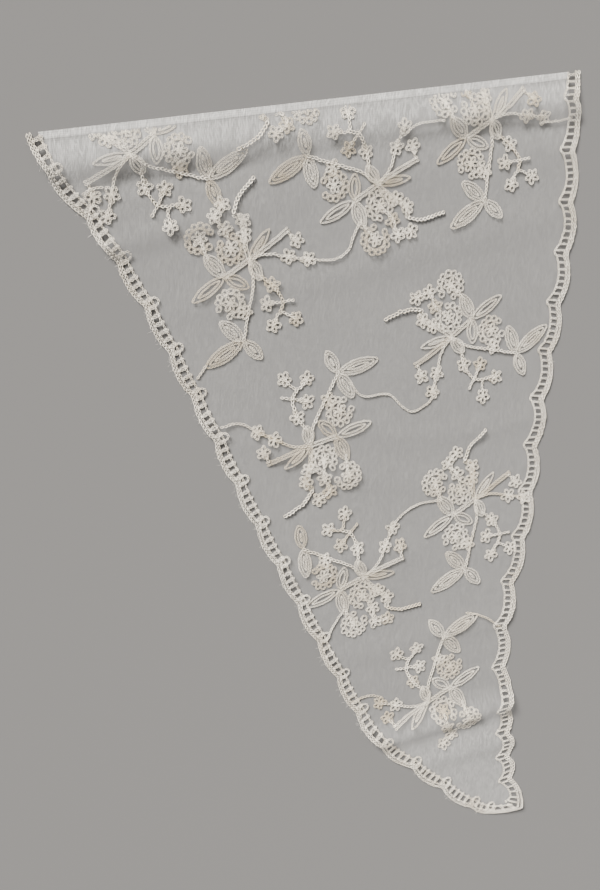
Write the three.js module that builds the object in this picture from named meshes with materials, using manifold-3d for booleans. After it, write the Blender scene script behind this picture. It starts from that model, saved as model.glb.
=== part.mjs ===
import * as THREE from 'three';
import { mergeVertices } from 'three/addons/utils/BufferGeometryUtils.js';
import Module from 'manifold-3d';

// Lace head scarf laid out on a surface, in millimetres. X runs across, Y up to the hem, Z upwards.

// Thicknesses
const CLOTH = 1.0;
const HEM_HEIGHT = 1.9;
const HEM_WIDTH = 5;
const BORDER = 1.8;
const SPRAY = 1.2;
const GAP = 0.4;

// Scalloped edging, measured outwards from the line of the cusp tips
const CUSP_REACH = 2;
const CUSP_SHOULDER = 3;
const BAND_WIDTH = 8;
const INNER_BULGE = 0.35;
const RUNG_INNER = 1.9;
const RUNG_OUTER = 5.2;
const RUNG_PITCH = 6.4;
const RUNG_THICK = 1.7;
const CLOSED_SLIT_OVER = 4;
const CUSP_HOLE = 2.1;
const CUSP_HOLE_IN = 1.6;
const CUSP_HOLE_SIDES = 4;
const TIP_STRETCH = 3;
const TIP_DIRECTION = [0.93, -0.37];
const TIP_REACH = 1.5;

// Line of the cusp tips down the left side, round the point and up the right side
const STRETCHES = [
  {
    scallops: 14,
    bulge: 3.4,
    through: [[-247, 228], [-239, 203], [-211, 176], [-164, 115], [-42, -90], [39, -221]],
  },
  {
    scallops: 4,
    bulge: 4.2,
    through: [[39, -221], [66, -255], [93, -273], [121, -293], [155, -317]],
  },
  {
    scallops: 2,
    bulge: 2,
    through: [[155, -317], [171, -324], [186, -325]],
  },
  {
    scallops: 4,
    bulge: 5.5,
    through: [[186, -325], [178, -310], [170, -283], [166, -258], [161, -234]],
  },
  {
    scallops: 14,
    bulge: 5.2,
    through: [[161, -234], [149, -155], [156, -70], [155, 30], [159, 171], [141, 310]],
  },
];

// Hem line across the top, from left to right
const HEM_LEFT = [-262, 212];
const HEM_RIGHT = [176, 297];
const HEM_LENGTH = Math.hypot(HEM_RIGHT[0] - HEM_LEFT[0], HEM_RIGHT[1] - HEM_LEFT[1]);
const HEM_DIRECTION = [(HEM_RIGHT[0] - HEM_LEFT[0]) / HEM_LENGTH, (HEM_RIGHT[1] - HEM_LEFT[1]) / HEM_LENGTH];

// Soft folds lie along the hem's direction, from the point upwards. Each has its half width and, at the
// stations across the cloth, the place of its middle line over the origin and its height.
const STATIONS = [-260, -130, -10, 100, 230];
const FOLDS = [
  { name: 'curled point', half: 14, middle: [-362, -362, -362, -362, -362], height: [0, 0, 0, 0, 12] },
  { name: 'crease echo', half: 13, middle: [-294, -294, -296, -292, -292], height: [0, 0, 0.6, 2.4, 1] },
  { name: 'deep crease', half: 17, middle: [-258, -258, -259, -255, -253], height: [0, 2, 6, 8, 6] },
  { name: 'low ripple', half: 17, middle: [-177, -177, -177, -175, -173], height: [0, 0, 1.4, 2.2, 0] },
  { name: 'side ripple', half: 18, middle: [-92, -92, -96, -100, -100], height: [0, 1.4, 1.8, 0, 0] },
  { name: 'middle ripple', half: 18, middle: [60, 44, -22, -50, -50], height: [0, 1.6, 2.2, 0, 0] },
  { name: 'right ripple', half: 15, middle: [100, 84, 14, -8, 4], height: [0, 0, 0.8, 2, 1.2] },
  { name: 'upper ripple', half: 20, middle: [122, 124, 132, 144, 154], height: [0, 1.2, 2.4, 2.2, 1] },
  { name: 'corner pucker', half: 14, middle: [164, 180, 192, 196, 200], height: [5, 4, 0, 0, 1.6] },
  { name: 'fold-over crest', half: 20, middle: [236, 236, 236, 236, 236], height: [5, 7, 5, 6, 6] },
];
const HIGH_FOLD = 5;
const HIGH_ROWS = [[-1, 0], [-0.5, 0.5], [0, 1], [0.5, 0.5], [1, 0]];
const LOW_ROWS = [[-1, 0], [0, 1], [1, 0]];
const LOWEST_ROW = -420;
const HIGHEST_ROW = 340;

// Embroidered spray, charted from its main joint upwards. A leaf runs from its foot to its point.
const LEAVES = [
  { foot: [-17, -13], point: [-41, -33], width: 8 },
  { foot: [-17, -13], point: [-34, 2], width: 12 },
  { foot: [-17, -13], point: [2, -20], width: 9 },
  { foot: [0, 0], point: [14, 24], width: 7 },
  { foot: [0, 0], point: [9, -11], width: 9 },
  { foot: [1, -59], point: [-19, -45], width: 12 },
  { foot: [1, -59], point: [17, -72], width: 11 },
];
const LONG_LEAF = { foot: [1, -59], point: [-27, -80], width: 10 };
const STEMS = [
  { width: 4.5, through: [[0, 0], [-17, -13]] },
  { width: 4.5, through: [[0, 0], [15, 12], [28, 24]] },
  { width: 3, through: [[27, 22], [35, 16]] },
  { width: 3, through: [[0, 0], [13, 5], [30, 4], [45, 3]] },
  { width: 3.5, through: [[0, 0], [4, -14], [3, -32], [1, -59]] },
  { width: 4, through: [[9, -11], [19, -17], [28, -29], [27, -37]] },
  { width: 3, through: [[16, -31], [28, -29], [37, -27]] },
  { width: 3, through: [[23, -47], [27, -37], [40, -41]] },
  { width: 3, through: [[-23, 38], [-29, 29], [-20, 21], [-14, 8]] },
  { width: 3, through: [[-30, -2], [-38, 13]] },
];
const STALK_STEMS = [
  { width: 4.5, through: [[-15, 32], [-12, 44], [-1, 59]] },
  { width: 5, through: [[-15, 32], [-7, 28], [-5, 18], [-3, 8], [0, 0]] },
];
const FLORETS = [
  [35, 16], [30, 4], [45, 3], [19, -17], [16, -31], [23, -47], [40, -41],
  [-23, 38], [-29, 29], [-20, 21], [0, -38],
];
const STALK_FLORETS = [[-7, 28], [-5, 18]];
const ROSETTES = [[-38, 13], [-14, 7], [-12, -32]];
const FLORET_RADIUS = 6.2;
const FLORET_SIDES = 5;
const ROSETTE_RADIUS = 11.5;
const ROSETTE_SIDES = 8;
const ROSETTE_TURN = 0.2;
const LEAF_FOOT = 0.15;
const LEAF_SECTIONS = [[0.35, 1], [0.75, 0.85]];

// Where each spray's main joint lies, how far it is turned, and whether it is mirrored
const SPRAYS = [
  { name: 'spray_fold_left', at: [-184, 206], turn: 78, mirrored: true },
  { name: 'spray_fold_mid', at: [-92, 271], turn: 163, mirrored: false },
  { name: 'spray_upper_left', at: [-92, 138], turn: 0, mirrored: false },
  { name: 'spray_upper_mid', at: [2, 198], turn: 255, mirrored: true },
  { name: 'spray_upper_right', at: [86, 251], turn: 4, mirrored: false },
  { name: 'spray_middle_right', at: [77, 87], turn: 80, mirrored: true },
  { name: 'spray_middle_left', at: [-31, 0], turn: 163, mirrored: false },
  { name: 'spray_lower_left', at: [24, -108], turn: 246, mirrored: true, longLeaf: false },
  { name: 'spray_lower_right', at: [115, -45], turn: 358, mirrored: false },
  { name: 'spray_point', at: [96, -221], turn: 174, mirrored: false, stalk: false },
];

// Thin trailing stems, each sewn as part of the spray that it leaves
const LINK_WIDTH = 2.2;
const LINKS = [
  { spray: 'spray_fold_left', through: [[-200, 182], [-207, 181], [-214, 176]] },
  { spray: 'spray_upper_left', through: [[-48, 141], [-26, 142], [-16, 149], [-13, 159], [-8, 172]] },
  { spray: 'spray_upper_left', through: [[-118, 60], [-124, 50]] },
  { spray: 'spray_upper_mid', through: [[17, 234], [23, 241], [29, 244], [48, 248]] },
  { spray: 'spray_upper_right', through: [[130, 253], [143, 255], [156, 259]] },
  {
    spray: 'spray_middle_left',
    through: [[-4, 50], [7, 39], [29, 41], [42, 31], [51, 27], [65, 36], [69, 44]],
  },
  { spray: 'spray_middle_left', through: [[-74, 10], [-89, 17], [-104, 14]] },
  { spray: 'spray_lower_left', through: [[43, -68], [54, -55], [66, -48], [84, -45]] },
  { spray: 'spray_lower_left', through: [[10, -136], [3, -148], [-2, -160]] },
  { spray: 'spray_point', through: [[52, -214], [40, -212], [26, -217]] },
  { spray: 'spray_point', through: [[120, -143], [135, -146], [154, -157]] },
];

// Scraps of a spray smaller than this many cubic millimetres are left off
const LEAST_BODY = 60;

// Reach and height of the blocks that cut the cloth to its outline
const REACH = 400;
const TALL = 40;
const BEFORE = -5;
const MERGE = 1e-4;

const wasm = await Module();
wasm.setup();

// A closed solid from a three.js geometry
function solidFrom(geometry) {
  geometry.deleteAttribute('normal');
  geometry.deleteAttribute('uv');
  const merged = mergeVertices(geometry, MERGE);
  return new wasm.Manifold(new wasm.Mesh({
    numProp: 3,
    vertProperties: new Float32Array(merged.attributes.position.array),
    triVerts: new Uint32Array(merged.index.array),
  }));
}

// An upright prism over an outline
function prism(outline) {
  const points = outline.map(([x, y]) => new THREE.Vector2(x, y));
  const shape = new THREE.Shape(THREE.ShapeUtils.isClockWise(points) ? points.reverse() : points);
  const geometry = new THREE.ExtrudeGeometry(shape, { depth: TALL, bevelEnabled: false });
  geometry.translate(0, 0, BEFORE);
  return solidFrom(geometry);
}

// Points across the cloth at each station, one row for the edge of each facet of the folds
function foldRows() {
  const rows = [STATIONS.map(() => [LOWEST_ROW, 0])];
  for (const fold of FOLDS) {
    const sections = Math.max(...fold.height) > HIGH_FOLD ? HIGH_ROWS : LOW_ROWS;
    for (const [side, share] of sections) {
      rows.push(STATIONS.map((_, i) => [fold.middle[i] + side * fold.half, share * fold.height[i]]));
    }
  }
  rows.push(STATIONS.map(() => [HIGHEST_ROW, 0]));
  return rows;
}

// A folded layer between two heights above the underside of the cloth
function layer(low, high) {
  const rows = foldRows();
  const count = rows.length * STATIONS.length;
  const points = new Float32Array(count * 6);
  const [hx, hy] = HEM_DIRECTION;
  rows.forEach((row, j) => {
    row.forEach(([v, z], i) => {
      const n = j * STATIONS.length + i;
      const x = STATIONS[i] * hx - v * hy;
      const y = STATIONS[i] * hy + v * hx;
      points.set([x, y, z + low], n * 3);
      points.set([x, y, z + high], (n + count) * 3);
    });
  });
  const across = STATIONS.length;
  const last = (rows.length - 1) * across;
  const triangles = [];
  const quad = (a, b, c, d) => triangles.push(a, b, c, a, c, d);
  for (let j = 0; j < rows.length - 1; j += 1) {
    for (let i = 0; i < across - 1; i += 1) {
      const a = j * across + i;
      const d = a + across;
      quad(a + count, a + 1 + count, d + 1 + count, d + count);
      triangles.push(a, d + 1, a + 1, a, d, d + 1);
    }
    const left = j * across;
    const right = left + across - 1;
    quad(left + across, left, left + count, left + across + count);
    quad(right, right + across, right + across + count, right + count);
  }
  for (let i = 0; i < across - 1; i += 1) {
    quad(i, i + 1, i + 1 + count, i + count);
    quad(last + i + 1, last + i, last + i + count, last + i + 1 + count);
  }
  return new wasm.Manifold(new wasm.Mesh({
    numProp: 3,
    vertProperties: points,
    triVerts: new Uint32Array(triangles),
  }));
}

// Cusps along the edge, with the outward direction at each
const TIP = STRETCHES.slice(0, TIP_STRETCH).reduce((sum, stretch) => sum + stretch.scallops, 0);
function cusps() {
  const places = [];
  STRETCHES.forEach((stretch, s) => {
    const curve = new THREE.CatmullRomCurve3(
      stretch.through.map(([x, y]) => new THREE.Vector3(x, y, 0)), false, 'centripetal',
    );
    const points = curve.getSpacedPoints(stretch.scallops);
    points.slice(0, -1).forEach((p) => places.push({ x: p.x, y: p.y, bulge: stretch.bulge }));
    if (s === STRETCHES.length - 1) {
      places.push({ x: points.at(-1).x, y: points.at(-1).y, bulge: stretch.bulge });
    }
  });
  places.forEach((place, i) => {
    const before = places[Math.max(0, i - 1)];
    const after = places[Math.min(places.length - 1, i + 1)];
    const length = Math.hypot(after.x - before.x, after.y - before.y);
    place.out = [(after.y - before.y) / length, (before.x - after.x) / length];
    place.reach = 1;
  });
  places[TIP].out = TIP_DIRECTION;
  places[TIP].reach = TIP_REACH;
  return places;
}

// A point of the edging: scallop, share along it, distance outwards from the cusp tips, share of bulge
function edgePoint(scallop, share, outwards, bulgeShare) {
  const a = PLACES[scallop];
  const b = PLACES[scallop + 1];
  const bulge = a.bulge * bulgeShare * 4 * share * (1 - share);
  const at = (axis) => {
    const from = (axis === 0 ? a.x : a.y) + a.out[axis] * a.reach * outwards;
    const to = (axis === 0 ? b.x : b.y) + b.out[axis] * b.reach * outwards;
    const out = a.out[axis] + (b.out[axis] - a.out[axis]) * share;
    return from + (to - from) * share + out * bulge;
  };
  return [at(0), at(1)];
}

const PLACES = cusps();
const SCALLOPS = PLACES.length - 1;
const pitchOf = (s) => Math.hypot(PLACES[s + 1].x - PLACES[s].x, PLACES[s + 1].y - PLACES[s].y);
const OUTER_SHARES = [0, 0.2, 0.5, 0.8];

// One long side of the edging, from the top left round the point to the top right
function innerSide(grow) {
  const side = [];
  for (let s = 0; s < SCALLOPS; s += 1) {
    const shoulder = CUSP_SHOULDER / pitchOf(s);
    side.push(edgePoint(s, 0, -grow, INNER_BULGE));
    if (s !== TIP) {
      side.push(edgePoint(s, shoulder, CUSP_REACH - grow, INNER_BULGE));
    }
    side.push(edgePoint(s, 0.5, CUSP_REACH - grow, INNER_BULGE));
    if (s !== TIP - 1) {
      side.push(edgePoint(s, 1 - shoulder, CUSP_REACH - grow, INNER_BULGE));
    }
  }
  side.push(edgePoint(SCALLOPS - 1, 1, -grow, INNER_BULGE));
  return side;
}
function outerSide() {
  const side = [];
  for (let s = 0; s < SCALLOPS; s += 1) {
    for (const share of OUTER_SHARES) {
      side.push(edgePoint(s, share, CUSP_REACH + BAND_WIDTH, 1));
    }
  }
  side.push(edgePoint(SCALLOPS - 1, 1, CUSP_REACH + BAND_WIDTH, 1));
  return side;
}

// Open holes between the rungs, and one in the ring at each cusp
function rungHoles() {
  const holes = [];
  for (let s = 0; s < SCALLOPS; s += 1) {
    const pitch = pitchOf(s);
    const rungs = Math.round(pitch / RUNG_PITCH);
    const half = (1 / rungs - RUNG_THICK / pitch) / 2;
    const slit = rungs > CLOSED_SLIT_OVER ? Math.ceil(rungs / 2) : 0;
    for (let r = 1; r < rungs; r += 1) {
      if (r === slit) {
        continue;
      }
      const from = r / rungs - half;
      const to = r / rungs + half;
      holes.push([
        edgePoint(s, from, CUSP_REACH + RUNG_INNER, INNER_BULGE),
        edgePoint(s, to, CUSP_REACH + RUNG_INNER, INNER_BULGE),
        edgePoint(s, to, CUSP_REACH + RUNG_OUTER, INNER_BULGE),
        edgePoint(s, from, CUSP_REACH + RUNG_OUTER, INNER_BULGE),
      ]);
    }
  }
  for (let s = 1; s < SCALLOPS; s += 1) {
    if (s !== TIP) {
      const centre = edgePoint(s, 0, CUSP_REACH + CUSP_HOLE_IN, 0);
      holes.push(roundOutline(centre, CUSP_HOLE_SIDES, CUSP_HOLE, s));
    }
  }
  return holes;
}

// Everything under the hem line, let down by a distance
function belowHem(down) {
  const [hx, hy] = HEM_DIRECTION;
  const corner = (along, up) => [
    HEM_LEFT[0] + along * hx - (up - down) * hy,
    HEM_LEFT[1] + along * hy + (up - down) * hx,
  ];
  return prism([
    corner(-REACH, 0),
    corner(-REACH, -REACH * 2),
    corner(REACH * 2, -REACH * 2),
    corner(REACH * 2, 0),
  ]);
}

// Outlines of a spray's pieces, each a list of points
function leafOutline({ foot, point, width }, grow) {
  const [ax, ay] = foot;
  const [bx, by] = point;
  const length = Math.hypot(bx - ax, by - ay);
  const ux = (bx - ax) / length;
  const uy = (by - ay) / length;
  const half = width / 2 + grow;
  const sections = [[-grow, LEAF_FOOT], ...LEAF_SECTIONS.map(([along, share]) => [length * along, share])];
  const side = (turn) => sections.map(([along, share]) => [
    ax + ux * along - turn * uy * half * share,
    ay + uy * along + turn * ux * half * share,
  ]);
  const tip = [ax + ux * (length + grow), ay + uy * (length + grow)];
  return [...side(1), tip, ...side(-1).reverse()];
}
function stripOutline(through, width, grow) {
  const half = width / 2 + grow;
  const left = [];
  const right = [];
  through.forEach(([x, y], i) => {
    const [px, py] = through[Math.max(0, i - 1)];
    const [qx, qy] = through[Math.min(through.length - 1, i + 1)];
    const length = Math.hypot(qx - px, qy - py);
    const ux = (qx - px) / length;
    const uy = (qy - py) / length;
    const end = (i === 0 ? -1 : 0) + (i === through.length - 1 ? 1 : 0);
    const ex = x + ux * end * half;
    const ey = y + uy * end * half;
    left.push([ex - uy * half, ey + ux * half]);
    right.push([ex + uy * half, ey - ux * half]);
  });
  return [...left, ...right.reverse()];
}
function roundOutline([x, y], sides, radius, turn) {
  const corners = [];
  for (let k = 0; k < sides; k += 1) {
    const angle = turn + (k * 2 * Math.PI) / sides;
    corners.push([x + radius * Math.cos(angle), y + radius * Math.sin(angle)]);
  }
  return corners;
}

// From the spray's own chart to its place on the cloth
function onCloth(spray, [x, y]) {
  const angle = THREE.MathUtils.degToRad(spray.turn);
  const mx = spray.mirrored ? -x : x;
  return [
    spray.at[0] + mx * Math.cos(angle) - y * Math.sin(angle),
    spray.at[1] + mx * Math.sin(angle) + y * Math.cos(angle),
  ];
}

// The whole spray as one upright prism, grown outwards by a distance
function sprayPrism(spray, grow) {
  const put = (outline) => outline.map((p) => onCloth(spray, p));
  const pieces = [];
  const leaves = spray.longLeaf === false ? LEAVES : [...LEAVES, LONG_LEAF];
  const stems = spray.stalk === false ? STEMS : [...STEMS, ...STALK_STEMS];
  const florets = spray.stalk === false ? FLORETS : [...FLORETS, ...STALK_FLORETS];
  for (const leaf of leaves) {
    pieces.push(prism(put(leafOutline(leaf, grow))));
  }
  for (const stem of stems) {
    pieces.push(prism(put(stripOutline(stem.through, stem.width, grow))));
  }
  florets.forEach((centre, i) => {
    pieces.push(prism(put(roundOutline(centre, FLORET_SIDES, FLORET_RADIUS + grow, i))));
  });
  for (const centre of ROSETTES) {
    pieces.push(prism(put(roundOutline(centre, ROSETTE_SIDES, ROSETTE_RADIUS + grow, ROSETTE_TURN))));
  }
  return wasm.Manifold.union(pieces);
}

// The largest separate body of a solid
function largest(solid) {
  return solid.decompose().sort((a, b) => b.volume() - a.volume())[0];
}

const group = new THREE.Group();
const THREAD = new THREE.MeshStandardMaterial({ color: 0xe6ddca, roughness: 0.75, metalness: 0 });
const NET = new THREE.MeshStandardMaterial({ color: 0xd8d3cb, roughness: 0.8, metalness: 0 });

function addNode(name, solid, material) {
  const mesh = solid.getMesh();
  const geometry = new THREE.BufferGeometry();
  const vertices = new Float32Array(mesh.vertProperties);
  geometry.setAttribute('position', new THREE.BufferAttribute(vertices, 3));
  geometry.setIndex(new THREE.BufferAttribute(new Uint32Array(mesh.triVerts), 1));
  const node = new THREE.Mesh(geometry, material);
  node.name = name;
  group.add(node);
}

// Sheer ground with its plain hem
const field = prism(innerSide(GAP));
const cut = field.intersect(belowHem(0));
const ground = layer(0, CLOTH).intersect(cut);
const hem = layer(0, HEM_HEIGHT).intersect(cut).subtract(belowHem(HEM_WIDTH));
addNode('ground_cloth', largest(ground.add(hem)), NET);

// Scalloped edging
const openings = wasm.Manifold.union(rungHoles().map((hole) => prism(hole)));
const border = prism([...outerSide(), ...innerSide(0).reverse()]).subtract(openings);
const edging = layer(0, BORDER).intersect(border).intersect(belowHem(0));
addNode('scallop_edging', largest(edging), THREAD);

// Sprays with their trailing stems, each kept clear of those after it in the list
const raised = layer(CLOTH + GAP, CLOTH + GAP + SPRAY);
const sprayLayer = raised.intersect(field).intersect(belowHem(HEM_WIDTH + GAP));
function sewnPrisms(spray, grow) {
  const links = LINKS.filter((link) => link.spray === spray.name);
  const stems = links.map((link) => prism(stripOutline(link.through, LINK_WIDTH, grow)));
  return [sprayPrism(spray, grow), ...stems];
}
SPRAYS.forEach((spray, i) => {
  const sewn = wasm.Manifold.union(sewnPrisms(spray, 0));
  const others = SPRAYS.slice(i + 1).flatMap((other) => sewnPrisms(other, GAP));
  const clear = others.length > 0 ? sewn.subtract(wasm.Manifold.union(others)) : sewn;
  const bodies = sprayLayer.intersect(clear).decompose();
  const kept = bodies.filter((body) => body.volume() > LEAST_BODY);
  kept.sort((a, b) => b.volume() - a.volume());
  kept.forEach((body, k) => {
    addNode(k === 0 ? spray.name : `${spray.name}_piece_${k}`, body, THREAD);
  });
});

// The origin is at the middle of the part's footprint, on the surface
const box = new THREE.Box3().setFromObject(group);
const middle = box.getCenter(new THREE.Vector3());
group.position.set(-middle.x, -middle.y, -box.min.z);

export default group;
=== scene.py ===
import math

import bmesh
import bpy
import numpy as np
from mathutils import Matrix, Vector


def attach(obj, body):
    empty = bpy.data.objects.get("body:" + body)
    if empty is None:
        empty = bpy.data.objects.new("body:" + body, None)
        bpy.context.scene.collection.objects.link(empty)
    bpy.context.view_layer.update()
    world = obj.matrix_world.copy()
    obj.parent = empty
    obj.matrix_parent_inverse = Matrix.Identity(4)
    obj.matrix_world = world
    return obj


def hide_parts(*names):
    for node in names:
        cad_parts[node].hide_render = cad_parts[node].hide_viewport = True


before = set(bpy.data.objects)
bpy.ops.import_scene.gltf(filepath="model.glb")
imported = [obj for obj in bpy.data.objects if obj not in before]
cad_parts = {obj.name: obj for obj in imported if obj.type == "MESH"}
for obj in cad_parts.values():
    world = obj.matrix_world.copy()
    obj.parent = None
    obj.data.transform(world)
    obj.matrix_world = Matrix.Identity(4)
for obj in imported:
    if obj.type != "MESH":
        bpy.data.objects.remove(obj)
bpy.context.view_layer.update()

# Lace head scarf: sheer net, raised cord embroidery, a scalloped ladder edging and a plain hem.
# Lengths are in millimetres on the cloth's own plan, X across and Y up to the hem, until a mesh
# is made. PLAN_SHIFT leads from the plan's origin to the frame's.
MM = 0.001
PLAN_SHIFT = np.array([26.8256, 20.1303])

# Net and hem. The lines of the mesh lie a STEP apart, and ACROSS_STEPS as far across the cloth.
# The net reaches under the edging, and its outline turns at a SHOULDER on each side of a cusp.
NET_UNDER = 0.15
NET_THICK = 0.3
NET_TOP = NET_UNDER + NET_THICK
NET_STEP = 5.0
NET_REACH = 1.0
SHOULDER = 3
HEM_WIDTH = 5.0
HEM_THICK = 0.35
HEM_OVER_NET = 0.1
HEM_STEP = 2.5
ACROSS_STEPS = 1.5
HEM_LEFT = np.array([-262.0, 212.0])
HEM_RIGHT = np.array([176.0, 297.0])
HEM_WAY = (HEM_RIGHT - HEM_LEFT) / np.hypot(*(HEM_RIGHT - HEM_LEFT))
UP_WAY = np.array([-HEM_WAY[1], HEM_WAY[0]])
HEM_LINE = float(HEM_LEFT @ UP_WAY)

# Where the net lies closer: along the fold-over crest, in the crease and over the point, by how
# far up the cloth each lies, how fast it fades and how much it counts
CREST_AT, CREST_SPREAD = 244, 26
CREASE_AT, CREASE_SPREAD, CREASE_SHARE = -258, 12, 0.4
POINT_BELOW, POINT_FADE, POINT_SHARE = -262, 2.5, 0.55

# Folds: name, half width, and for each station across the cloth its middle line and its height
STATIONS = [-260, -130, -10, 100, 230]
FOLDS = [
    ("curled point", 14, [-362] * 5, [0, 0, 0, 0, 12]),
    ("crease echo", 13, [-294, -294, -296, -292, -292], [0, 0, 0.6, 2.4, 1]),
    ("deep crease", 17, [-258, -258, -259, -255, -253], [0, 2, 6, 8, 6]),
    ("low ripple", 17, [-177, -177, -177, -175, -173], [0, 0, 1.4, 2.2, 0]),
    ("side ripple", 18, [-92, -92, -96, -100, -100], [0, 1.4, 1.8, 0, 0]),
    ("middle ripple", 18, [60, 44, -22, -50, -50], [0, 1.6, 2.2, 0, 0]),
    ("right ripple", 15, [100, 84, 14, -8, 4], [0, 0, 0.8, 2, 1.2]),
    ("upper ripple", 20, [122, 124, 132, 144, 154], [0, 1.2, 2.4, 2.2, 1]),
    ("corner pucker", 14, [164, 180, 192, 196, 200], [5, 4, 0, 0, 1.6]),
    ("fold-over crest", 20, [236] * 5, [5, 7, 5, 6, 6]),
]

# A faint ripple over the whole cloth, and how it turns with the way across and up
RIPPLE_HEIGHT = 0.35
RIPPLE_ACROSS, RIPPLE_UP, RIPPLE_SLANT = 0.071, 0.046, 0.013
RIPPLE_WANDER, RIPPLE_WANDER_UP = 0.9, 0.031

# Edging: stretches from the top left round the point to the top right, each with its number of
# scallops, how far they bulge, and points through which its cusps run
STRETCHES = [
    (14, 3.4, [(-247, 228), (-239, 203), (-211, 176), (-164, 115), (-42, -90), (39, -221)]),
    (4, 4.2, [(39, -221), (66, -255), (93, -273), (121, -293), (155, -317)]),
    (2, 2.0, [(155, -317), (171, -324), (186, -325)]),
    (4, 5.5, [(186, -325), (178, -310), (170, -283), (166, -258), (161, -234)]),
    (14, 5.2, [(161, -234), (149, -155), (156, -70), (155, 30), (159, 171), (141, 310)]),
]

# The tip of the scarf is a cusp that points its own way. Distances outwards are from the cusps'
# line, and stitches nearer the hem line than EDGE_HEM_GAP are left out
STRETCHES_TO_TIP = 3
TIP = sum(stretch[0] for stretch in STRETCHES[:STRETCHES_TO_TIP])
SCALLOPS = sum(stretch[0] for stretch in STRETCHES)
TIP_WAY = (0.93, -0.37)
TIP_REACH = 1.5
CUSP_REACH = 2.0
BAND_WIDTH = 8.0
BAND_OUT = CUSP_REACH + BAND_WIDTH
INNER_BULGE = 0.35
EDGE_HEM_GAP = 0.8

# Rows along the edging: distance outwards, share of the bulge, width, first and last cusp
EDGING_ROWS = [
    (CUSP_REACH + 0.8, INNER_BULGE, 1.7, 0, TIP),
    (BAND_OUT - 3.2, 0.97, 2.0, 0, TIP),
    (BAND_OUT - 1.1, 1.0, 2.2, 0, TIP),
    (BAND_OUT - 3.5, 0.98, 2.1, TIP, SCALLOPS),
    (BAND_OUT - 1.15, 1.0, 2.3, TIP, SCALLOPS),
]
EDGE_PITCH = 2.8

# Left side: every rung is a loop of its own, with a distance outwards and a share of the bulge at
# each end, and every cusp has a ring, with its near end, far end and half width
RUNG_PITCH = 6.4
RUNG_FOOT = (BAND_OUT - 3.0, 0.93)
RUNG_END = (CUSP_REACH - 0.9, INNER_BULGE)
RUNG_NEAR, RUNG_HALF, RUNG_SWELL = -0.2, 1.2, 0.5
RUNG_STRAY = 0.06
CUSP_RING_AT = CUSP_REACH + 1.2
CUSP_RING = (-3.2, 4.6, 3.5)

# Right side: a bumpy inner edge, by share of the scallop and distance outwards, and straight rungs
SIDE_LADDER = [
    (0, -1.0), (0.05, -1.6), (0.1, -0.8), (0.16, 1.2), (0.3, 3.7), (0.45, 5.0), (0.6, 5.0),
    (0.75, 4.0), (0.9, 2.0), (0.96, 0.9), (1, -0.2),
]
SIDE_RUNG_PITCH = 4.9
SIDE_RUNGS_LEAST = 4
SIDE_RUNG_AT = 0.7
SIDE_RUNG_FOOT = 0.2
SIDE_RUNG_END = (BAND_OUT - 4.6, 0.97)
SIDE_RUNG_STRAY = 0.08
SIDE_BUMP = 0.6

# Stray fibres along the edging: how long they are, how far they lean and bend, and their height
FIBRES = 420
FIBRE_SEED = 77
FIBRE_RADIUS = 0.05
FIBRE_TAPER = np.array([1, 1, 0.9, 0.7, 0.25])
FIBRE_SIDES = 3
FIBRE_FOOT = BAND_OUT - 0.6
FIBRE_LENGTH = (1.2, 4.2)
FIBRE_LEAN, FIBRE_BEND = 0.7, 0.25
FIBRE_LEVEL = 0.2
FIBRE_LIFT = (0.5, 1.6)

# One spray on its own plan, first its leaves: kind, foot, point and width
LEAVES = [
    ("open", (-17, -13), (-41, -33), 10.5),
    ("ringed", (-17, -13), (-34, 2), 12.5),
    ("open", (-17, -13), (2, -20), 11),
    ("open", (0, 0), (14, 24), 8.5),
    ("ringed", (1, -59), (-19, -45), 12.5),
    ("ringed", (1, -59), (17, -72), 11.5),
    ("round", (1, 0), (10, -14), 11),
]
LONG_LEAF = ("ringed", (1, -59), (-27, -80), 13)

# Each kind of leaf has rows of stitches at these distances inside its outline, each row a LEAF_STEP
# higher than the last. The gaps at foot and point are in shares of that distance
LEAF_ROWS = {"open": (0.8, 3.1), "ringed": (0.8, 2.8, 4.8), "round": (0.8, 2.8)}
LEAF_LIFT = {"open": 0.0, "ringed": 0.0, "round": 0.9}
LEAF_STEP = 0.1
LEAF_ROUNDNESS, LEAF_TAPER = 0.62, 0.12
LEAF_FOOT_GAP, LEAF_POINT_GAP = 0.8, 0.9
VEIN_ENDS = (0.12, 0.84)

# Stems: width and points; a wide one is sewn as two rows side by side
STEMS = [
    (4.5, [(0, 0), (-17, -13)]),
    (4.5, [(0, 0), (15, 12), (28, 24)]),
    (2.7, [(27, 22), (35, 16)]),
    (2.7, [(0, 0), (13, 5), (30, 4), (45, 3)]),
    (3, [(0, 0), (4, -14), (3, -32), (1, -59)]),
    (3.2, [(9, -11), (19, -17), (28, -29), (27, -37)]),
    (2.7, [(16, -31), (28, -29), (37, -27)]),
    (2.7, [(23, -47), (27, -37), (40, -41)]),
    (2.7, [(-23, 38), (-29, 29), (-20, 21), (-14, 8)]),
    (2.7, [(-30, -2), (-38, 13)]),
]
STALK_STEMS = [
    (3.6, [(-15, 32), (-12, 44), (-1, 59)]),
    (4.5, [(-15, 32), (-7, 28), (-5, 18), (-3, 8), (0, 0)]),
]
WIDE_STEM = 4
TWIN_APART = 1.1
STEM_SHARE, STEM_PITCH = 0.85, 3.0

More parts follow.
